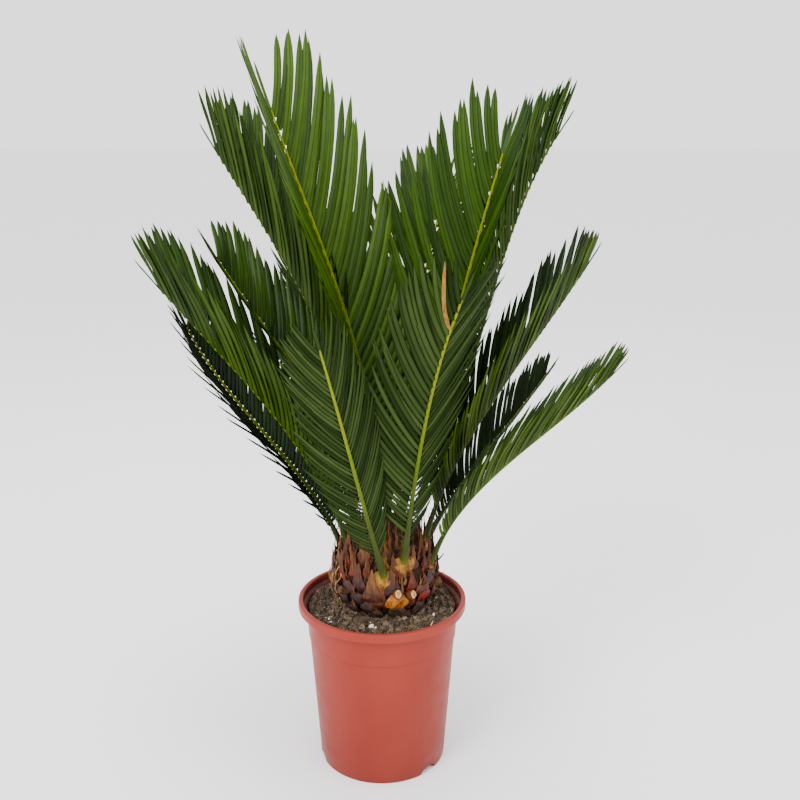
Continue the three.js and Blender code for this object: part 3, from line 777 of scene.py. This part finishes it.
# how far out and up the four control points of a leaf base's line stand
SCALE_BACK = 4
SCALE_BULGES = (1.15, 0.75)
SCALE_RISES = (-0.55, -0.5, 0.55, 0.6)
SCALE_STEPS = 14
SCALE_SUNK = 3  # how far its middle lies inside the bulb
SCALE_COUNT = 112
# the base under a living stalk is widest at its top
BASE_WIDTHS = ((0, 0.1), (0.25, 0.4), (0.5, 0.76), (0.75, 1), (0.9, 0.85), (1, 0.5))
BASE_DEPTHS = ((0, 0.4), (0.3, 0.85), (0.6, 1), (0.85, 0.8), (1, 0.4))
BASE_MARK = 0.62
SCALE_ROUGH, BASE_ROUGH = 1.4, 0.6
SCALE_CLEAR = 8.5  # between a leaf base's middle and a swollen one's
CUT_FROM, CUT_TO = 0.5, 0.64  # share of a broken leaf base that is left
FACING = -82  # azimuth of the stem's front
SHRED_COUNT = 200
STRIP_COUNT = 96
STUB_LEAN = 62  # from upright
STUB_REACHES = np.array([-4, 2, 7, 11, 14.5, 16])  # along the stalk, and its width there
STUB_WIDTHS = np.array([5.2, 4.7, 4.2, 3.9, 3.8, 3.5])
STUB_FLAT = 0.86


def bulb_radius(height):
    return along(CAUDEX_BULB, height)


def add_scale(shape, azimuth, radius, height, size, tip, lean, paint, rng, cut=1.0, swollen=False):
    """A leaf base that swells out of the stem and runs up into a dry point, cut short at a share."""
    wide, deep, tall = size
    outward, across = bearings(azimuth)
    t = np.linspace(0, cut, SCALE_STEPS)[:, None]
    swing = rng.normal(0, 0.1) * tip
    low, lower, upper, top = SCALE_RISES
    pull = [
        outward * -SCALE_BACK + UP * low * tall,
        outward * deep * SCALE_BULGES[0] + UP * lower * tall,
        outward * deep * SCALE_BULGES[1] + UP * upper * tall,
        outward * lean + UP * (top * tall + tip) + across * swing,
    ]
    weights = [(1 - t) ** 3, 3 * t * (1 - t) ** 2, 3 * t ** 2 * (1 - t), t ** 3]
    line = polar(azimuth, radius, height) + sum(w * p for w, p in zip(weights, pull))
    forward = unit(np.gradient(line, axis=0))
    side = np.broadcast_to(across, forward.shape)
    u = t[:, 0]
    widths = wide / 2 * along(BASE_WIDTHS if swollen else SCALE_WIDTHS, u)
    depths = deep * along(BASE_DEPTHS if swollen else SCALE_DEPTHS, u)
    mark = np.repeat(BASE_MARK * u if swollen else u, len(SCALE_SECTION))
    rough = (4.5, BASE_ROUGH if swollen else SCALE_ROUGH, rng.uniform(0, 50))
    shape.tube(line, side, np.cross(side, forward), SCALE_SECTION, widths, depths, paint, mark, rough)


def scale_colour(azimuth, height, rng):
    """Red and brown on top, purple-brown lower down, cork-brown at the foot."""
    mix = TOP_MIX
    if height < 190:
        mix = FOOT_MIX
    elif height < 212:
        mix = FRONT_MIX if abs((azimuth - FACING + 180) % 360 - 180) < 75 else BACK_MIX
    draw = rng.random()
    return next(paint for share, paint in mix if draw < share)


def make_core():
    core = Shape()
    turns = full_turn(6)
    heights = np.linspace(158, 253, 24)
    rows = revolved(zip(bulb_radius(heights) - 2, heights), turns)
    points = ruffle(rows + CAUDEX_CENTRE, 9, 2.2)
    core.add(points, tube_faces(len(heights), len(turns)))
    core.make("stem_core", [fibrous("stem_fibre", (16, 9, 6), (54, 31, 18))], "stem", ["caudex"])


def make_bases(fronds):
    """Swollen bases round the living and the cut stalks. Returns their places."""
    rng = np.random.default_rng(12)
    bases = Shape()
    places = []
    for frond in fronds:
        x, y, z = frond.point[0] - CAUDEX_CENTRE
        radius = hypot(x, y)
        if radius < 30:
            continue
        azimuth = degrees(atan2(y, x))
        in_front = "front" in frond.name
        size, paint = ((22, 6.5, 20), YELLOW) if in_front else ((15, 6, 17), AMBER)
        height = z - 8
        add_scale(bases, azimuth, radius - 3, height, size, 1, 1, paint, rng, swollen=True)
        places.append(polar(azimuth, radius, height))
    for (azimuth, height), (wide, paint, _, _) in zip(STUBS, STUB_LOOKS):
        size = (wide, 5 + 0.13 * wide, 13 + 0.26 * wide)
        radius, low = bulb_radius(height), height - 3
        add_scale(bases, azimuth, radius - SCALE_SUNK, low, size, 3, 4, paint, rng, 0.6)
        places.append(polar(azimuth, radius, low))
    for azimuth, height, wide in RED_BASES:
        radius = bulb_radius(height)
        add_scale(bases, azimuth, radius - SCALE_SUNK, height, (wide, 7, 16), 6, 3, RED, rng)
        places.append(polar(azimuth, radius, height))
    bases.make("frond_bases", SCALE_PAINTS, "stem")
    return np.array(places)


def make_scales(taken):
    """Old leaf bases in a spiral, where no swollen base stands."""
    rng = np.random.default_rng(11)
    scales = Shape()
    for i in range(SCALE_COUNT):
        share = (i + 0.5) / SCALE_COUNT
        height = 168 + 72 * share ** 0.92
        azimuth = i * GOLDEN_ANGLE + rng.normal(0, 3)
        size = 1 + 0.16 * sin(pi * share) + rng.normal(0, 0.1)
        low = height < 188
        tip = (3 + 12 * share + rng.uniform(-2, 6)) * (0.5 if low else 1)
        cut = rng.uniform(CUT_FROM, CUT_TO) if low or rng.random() < 0.25 else 1.0
        paint = scale_colour(azimuth, height, rng)
        radius = bulb_radius(height)
        near = np.linalg.norm(taken - polar(azimuth, radius, height), axis=1).min()
        if near < SCALE_CLEAR:
            continue
        facts = (15.5 * size, 5.4 * size, 15 * size)
        lean = 2 + 5 * (1 - share)
        add_scale(scales, azimuth, radius - SCALE_SUNK, height, facts, tip, lean, paint, rng, cut)
    scales.make("leaf_bases", SCALE_PAINTS, "stem")


def make_husks():
    """Papery shreds over the leaf bases and tall bud scales on top."""
    rng = np.random.default_rng(13)
    strips = Shape()
    for i in range(SHRED_COUNT):
        height = 182 + 50 * (i + 0.5) / SHRED_COUNT
        size = (rng.uniform(2, 4.4), rng.uniform(0.7, 1.4), rng.uniform(5, 9))
        radius = bulb_radius(height) + rng.uniform(0.5, 2.5)
        azimuth = i * GOLDEN_ANGLE + rng.normal(0, 9)
        tip, lean, paint = rng.uniform(8, 18), rng.uniform(-1, 3), int(rng.integers(3))
        add_scale(strips, azimuth, radius, height, size, tip, lean, paint, rng)
    for i in range(STRIP_COUNT):
        share = (i + 0.5) / STRIP_COUNT
        azimuth = i * GOLDEN_ANGLE + 40 + rng.normal(0, 4)
        radius = 46 - 34 * share ** 1.3
        size = (rng.uniform(4, 8), rng.uniform(1.2, 2.2), rng.uniform(8, 12))
        tip, lean, paint = rng.uniform(16, 36), rng.uniform(-3, 5), int(rng.integers(3))
        add_scale(strips, azimuth, radius, 228 + 20 * share, size, tip, lean, paint, rng)
    strips.make("bud_husks", [
        fibrous("husk_orange", (56, 24, 9), (116, 64, 28)),
        fibrous("husk_tan", (56, 34, 18), (118, 82, 48)),
        fibrous("husk_brown", (30, 15, 9), (72, 40, 23)),
    ], "stem")


def make_stubs():
    """Stalks that were cut off, with pale ends."""
    flesh, cut = Shape(), Shape()
    rng = np.random.default_rng(7)
    ring = round_section(14)
    lean = radians(STUB_LEAN)
    for (azimuth, height), (_, _, share, dark) in zip(STUBS, STUB_LOOKS):
        outward, across = bearings(azimuth)
        way = outward * sin(lean) + UP * cos(lean)
        root = polar(azimuth, bulb_radius(height), height)
        line = root + way * (share * STUB_REACHES)[:, None]
        side = np.broadcast_to(across, line.shape)
        out = np.broadcast_to(np.cross(across, way), line.shape)
        flesh.tube(line, side, out, ring, STUB_WIDTHS * STUB_FLAT, STUB_WIDTHS, dark, 0.5, (5, 0.8))
        for first, last, wide, paint in ((15.2, 16.6, 3.7, 2 * dark), (16, 17.2, 2.6, 1 + dark)):
            face = root + way * share * np.linspace(first, last, 3)[:, None]
            size = wide * np.array([1, 0.92, 0.6])
            rough = (2.5, 0.45, rng.uniform(0, 9))
            cut.tube(face, side[:3], out[:3], ring, size * 0.84, size * 1.06, paint, 0, rough)
    flesh.make("stub_stalks", [
        fibrous("stub_skin", (66, 32, 13), (124, 74, 32)),
        fibrous("stub_skin_old", (36, 20, 12), (84, 52, 30)),
    ], "stem")
    cut.make("stub_ends", [
        fibrous("stub_rind", (150, 112, 60), (206, 170, 116), 700),
        fibrous("stub_pith", (112, 68, 30), (180, 134, 78), 700),
        fibrous("stub_pith_old", (40, 24, 15), (92, 62, 40), 700),
    ], "stem")


def add_strand(shape, points, thick, paint=0):
    """A thin round strand through points, finer towards its end."""
    points = np.array(points, float)
    forward = unit(np.gradient(points, axis=0))
    across = unit(np.cross(forward, [0.3, 0.2, 0.93]))
    out = np.cross(forward, across)
    size = thick * np.linspace(1, 0.25, len(points))
    shape.tube(points, across, out, round_section(6, -1), size, size, paint)


ROOT_COUNT = 26
DARK_SPINES = (  # azimuth, height, how far they reach out and up
    (-16, 226, 14, 17), (-20, 218, 13, 10), (-28, 209, 15, 4), (170, 246, 9, 22), (-5, 214, 11, 8),
    (12, 220, 12, 11),
)


def make_fibres():
    """Dry roots on the stem's left side, and dark curled spines."""
    rng = np.random.default_rng(21)
    shape = Shape()
    t = np.linspace(0, 1, 9)
    for _ in range(ROOT_COUNT):
        azimuth = rng.normal(-168, 16)
        top = rng.uniform(186, 222)
        heights = np.maximum(top - rng.uniform(12, 34) * t, 165)
        wave = rng.uniform(0, 6)
        radii = bulb_radius(heights) + 3 + 2.4 * np.sin(2.2 * t + wave / 2)
        turns = azimuth + 4 * np.sin(3 * t + wave)
        line = [polar(*place) for place in zip(turns, radii, heights)]
        add_strand(shape, line, rng.uniform(0.4, 0.85), int(rng.integers(2)))
    pale = fibrous("root_pale", (116, 82, 42), (170, 134, 82), 500, 0.3)
    tan = fibrous("root_tan", (62, 38, 20), (112, 76, 42), 500, 0.3)
    shape.make("dry_roots", [pale, tan], "stem")

    spines = Shape()
    for azimuth, height, reach, rise in DARK_SPINES:
        radius = bulb_radius(height) - 1
        line = [polar(azimuth + 4 * s, radius + reach * s ** 0.8, height + rise * s ** 1.7) for s in t]
        add_strand(spines, line, 1.15)
    spines.make("dark_spines", [fibrous("spine_dark", (26, 18, 16), (64, 44, 36), 500, 0.3)], "stem")


# ---- potting mix

FINE_CRUMBS, COARSE_CRUMBS = 2600, 760
FINE_MIX, COARSE_MIX = (0.6, 0.37, 0.03), (0.64, 0.34, 0.02)  # shares of dark, mid and pale ones
GRAIN_COUNT = 90
GRAINS = (  # x, y, size and sinking of the larger white grains
    (-9, -56, 2.8, -0.3), (-5, -57.5, 2, -0.3), (-12.6, -55, 1.4, -0.3), (-3, -54.8, 1.3, -0.3),
    (-52, -38, 1.6, 0), (-50, -43, 1.4, 0), (-55, -34, 1.2, 0), (-48, -48, 1.5, 0), (-51, -50, 1.1, 0),
    (52, -30, 1.8, 0),
)
BIT_COUNT = 60
# x, y, turn, length and thickness of the longest ones
STRAWS = ((38, -57, -28, 17, 1.1), (-30, -61, 20, 9, 0.6), (50, -44, 75, 12, 0.9))


def soil_height(x, y):
    lumps = ((8, 3.0, 2.4), (2.8, 7.0, 1.2))  # grain, place in the noise, height
    rough = [noise.noise(Vector((x / grain, y / grain, place))) * rise for grain, place, rise in lumps]
    return float(along(SOIL_PROFILE, hypot(x, y))) + (rough[0] + rough[1])


def make_soil():
    rings = [(r, 0) for r in (*range(30, 71), *np.linspace(70.8, 74.4, 4))]
    turns = full_turn(2.5)
    rows = [(x, y, soil_height(x, y)) for x, y, _ in revolved(rings, turns)]
    wall = [(wall_outside(h) - POT_WALL - SOIL_CLEAR, h) for h in (158, POT_BAND + 1, POT_BAND, 60)]
    bed = Shape()
    bed.add(rows + revolved(wall, turns), tube_faces(len(rings) + len(wall), len(turns)))
    dark = crumbly("mix_dark", (32, 26, 21), (94, 79, 64))
    mid = crumbly("mix_brown", (56, 45, 34), (120, 102, 80))
    pale = crumbly("mix_pale", (98, 84, 64), (150, 134, 108))
    white = crumbly("perlite", (196, 192, 184), (240, 238, 232))
    bed.make("soil_bed", [dark], "potting_mix", ["soil"])

    rng = np.random.default_rng(3)
    fine, coarse = ball(0), ball(1)
    crumbs = Shape()

    def drop(shape, kind, size, paint, x, y, sink=0.25):
        points, faces = kind
        body = points * (1 + 0.35 * rng.uniform(-1, 1, (len(points), 1))) * size * rng.uniform(0.6, 1.2, 3)
        place = np.array([x, y, soil_height(x, y) + size * (0.5 - sink)])
        shape.add(body @ turn_matrix(rng).T + place, faces, paint)

    def spot(low=38, high=73.5):
        radius, a = sqrt(rng.uniform(low ** 2, high ** 2)), rng.uniform(0, 2 * pi)
        return radius * cos(a), radius * sin(a)

    for _ in range(FINE_CRUMBS):
        drop(crumbs, fine, rng.uniform(0.5, 1.5), int(rng.choice(3, p=FINE_MIX)), *spot())
    for _ in range(COARSE_CRUMBS):
        drop(crumbs, coarse, rng.uniform(1.2, 3.8), int(rng.choice(3, p=COARSE_MIX)), *spot(38, 72))
    crumbs.make("soil_crumbs", [dark, mid, pale], "potting_mix")

    grains = Shape()
    for _ in range(GRAIN_COUNT):
        drop(grains, coarse, rng.uniform(0.35, 0.9), 0, *spot())
    for x, y, size, sink in GRAINS:
        drop(grains, coarse, size, 0, x, y, sink)
    grains.make("perlite_grains", [white], "potting_mix")

    bits = Shape()
    t = np.linspace(0, 1, 5)[:, None]
    for _ in range(BIT_COUNT):
        x, y = spot(44, 72)
        a, length = rng.uniform(0, 2 * pi), rng.uniform(2.5, 8)
        way = np.array([cos(a), sin(a), rng.uniform(-0.15, 0.25)])
        start = np.array([x, y, soil_height(x, y) + 0.7]) - way * length / 2
        bend = np.array([-way[1], way[0], 0]) * rng.uniform(-1, 1)
        line = start + way * length * t + bend * np.sin(np.pi * t)
        add_strand(bits, line, rng.uniform(0.2, 0.4), int(rng.integers(2)))
    for x, y, turn, length, thick in STRAWS:
        way = bearings(turn)[0] + 0.05 * UP
        middle = np.array([x, y, soil_height(x, y) + thick + 0.8])
        add_strand(bits, middle + way * length * (t - 0.5), thick)
    straw = fibrous("straw", (176, 140, 92), (222, 196, 150), 600, 0.2)
    twig = fibrous("peat_fibre", (64, 46, 30), (120, 92, 62), 600, 0.2)
    bits.make("fallen_bits", [straw, twig], "potting_mix")


# ---- pot

def wall_outside(height):
    plain = POT_WALL_TOP - POT_BAND_STEP - POT_FOOT
    step = POT_BAND_STEP * np.clip(height - POT_BAND, 0, 1)
    return POT_FOOT + plain * height / (POT_HEIGHT - POT_RIM_HEIGHT) + step


def arc(centre, radius, start, end, count):
    """Points of (radius, height) on an arc about a centre."""
    return [
        (centre[0] + radius * cos(a), centre[1] + radius * sin(a))
        for a in np.radians(np.linspace(start, end, count))
    ]


def pot_profile():
    under = POT_HEIGHT - POT_RIM_HEIGHT
    ring = POT_FOOT - POT_FOOT_RING
    slope = POT_DISC + POT_GROOVE_SLOPE
    inner = POT_GROOVE + POT_FLOOR
    lower = [(wall_outside(h), h) for h in (1.2, 20, 50, 80, 110, 130, POT_BAND - 0.3)]
    outside = lower + [(wall_outside(h), h - 0.8) for h in (POT_BAND + 1, 146, 158.8)]
    inside = [(wall_outside(h) - POT_WALL, h) for h in (158, 145, 130, 100, 60, 30, inner + 2)]
    corner = 1.4
    return [
        (0.4, 0), (POT_DISC - 1, 0), (POT_DISC + 0.5, 0.8),
        (slope - 0.5, POT_GROOVE - 0.8), (slope + 0.6, POT_GROOVE),
        (ring - 1.6, POT_GROOVE), (ring - 0.6, POT_GROOVE - 0.8), (ring, 0.5), (ring + 0.5, 0),
        *arc((POT_FOOT - 1, 1), 1, -90, 0, 4), *outside,
        (wall_outside(under) - 0.3, under - 1.5), (wall_outside(under) + 0.9, under - 0.2),
        *arc((POT_RIM - corner, under + corner), corner, -90, 0, 5),
        *arc((POT_RIM - corner, POT_HEIGHT - corner), corner, 0, 90, 5),
        *arc((POT_MOUTH + corner, POT_HEIGHT - corner), corner, 90, 180, 5),
        (POT_MOUTH - 0.3, under + 2), (wall_outside(under) - POT_WALL + 0.4, under - 1), *inside,
        (wall_outside(inner) - POT_WALL - 2, inner), (slope - 1, inner),
        (POT_DISC - 1, POT_FLOOR), (0.4, POT_FLOOR),
    ]


def notch_cutter():
    """An arch for each drainage notch."""
    shape = Shape()
    half = NOTCH_WIDTH / 2
    arch = [(half * x, NOTCH_HEIGHT * z) for x, z in arc((0, 0), 1, 0, 180, 15)]
    outline = [(half, -2), *arch, (-half, -2)]
    for azimuth in NOTCH_AZIMUTHS:
        outward, across = bearings(azimuth)
        rows = [
            outward * radius + across * x + UP * z
            for radius in (POT_FOOT + 4, POT_FOOT - POT_FOOT_RING - 2)
            for x, z in outline
        ]
        shape.add(rows, tube_faces(2, len(outline)))
    return shape


def make_pot():
    profile = pot_profile()
    turns = full_turn(2)
    body = Shape()
    body.add(revolved(profile, turns), tube_faces(len(profile), len(turns)))
    pot = body.make("nursery_pot", [pot_paint()], "pot_plastic", ["pot"], POT_SHARP_ANGLE)
    cutter = notch_cutter().make("cutter", [], "pot_plastic")
    cut = pot.modifiers.new("notches", "BOOLEAN")
    cut.operation = "DIFFERENCE"
    cut.object = cutter
    cut.solver = "EXACT"
    bpy.context.view_layer.objects.active = pot
    bpy.ops.object.modifier_apply(modifier=cut.name)
    bpy.data.objects.remove(cutter)


# ---- stage

FLOOR_REACH = 40.0  # metres
WORLD_STRENGTH = 2.0
LIGHTS = (  # name, place, size and power, in metres and watts
    ("key", (-1.3, -1.7, 1.9), 1.4, 64),
    ("fill", (1.7, -1.0, 1.2), 1.4, 12),
    ("top", (0.1, 0.3, 2.3), 1.6, 26),
)
LIGHTS_AIM = Vector((0, 0, 0.35))
LENS = 45
CAMERA_PLACE, CAMERA_TILT = (0.0182, -0.933, 0.631), 75


def make_stage():
    mesh = bpy.data.meshes.new("floor")
    corners = [(FLOOR_REACH * x, FLOOR_REACH * y, 0) for x, y in ((-1, -1), (1, -1), (1, 1), (-1, 1))]
    mesh.from_pydata(corners, [], [(0, 1, 2, 3)])
    mesh.materials.append(floor_paint().material)
    put("floor", mesh)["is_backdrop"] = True

    world = bpy.data.worlds.new("studio")
    world.use_nodes = True
    backdrop = world.node_tree.nodes["Background"]
    backdrop.inputs["Color"].default_value = (1, 1, 1, 1)
    backdrop.inputs["Strength"].default_value = WORLD_STRENGTH
    bpy.context.scene.world = world

    for name, place, size, energy in LIGHTS:
        light = bpy.data.lights.new(name, "AREA")
        light.shape = "DISK"
        light.size = size
        light.energy = energy
        lamp = put(name, light)
        lamp.location = place
        lamp.rotation_euler = (LIGHTS_AIM - Vector(place)).to_track_quat("-Z", "Y").to_euler()

    data = bpy.data.cameras.new("camera")
    data.lens = LENS
    camera = put("camera", data)
    camera.location = CAMERA_PLACE
    camera.rotation_euler = (radians(CAMERA_TILT), 0, 0)
    bpy.context.scene.camera = camera


make_stage()
make_pot()
make_soil()
palm_fronds = make_fronds()
make_core()
make_scales(make_bases(palm_fronds))
make_husks()
make_stubs()
make_fibres()

boxes = {"cad": CAD_BOX, "visual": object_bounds()}
{name: [list(corner) for corner in box] for name, box in boxes.items()}
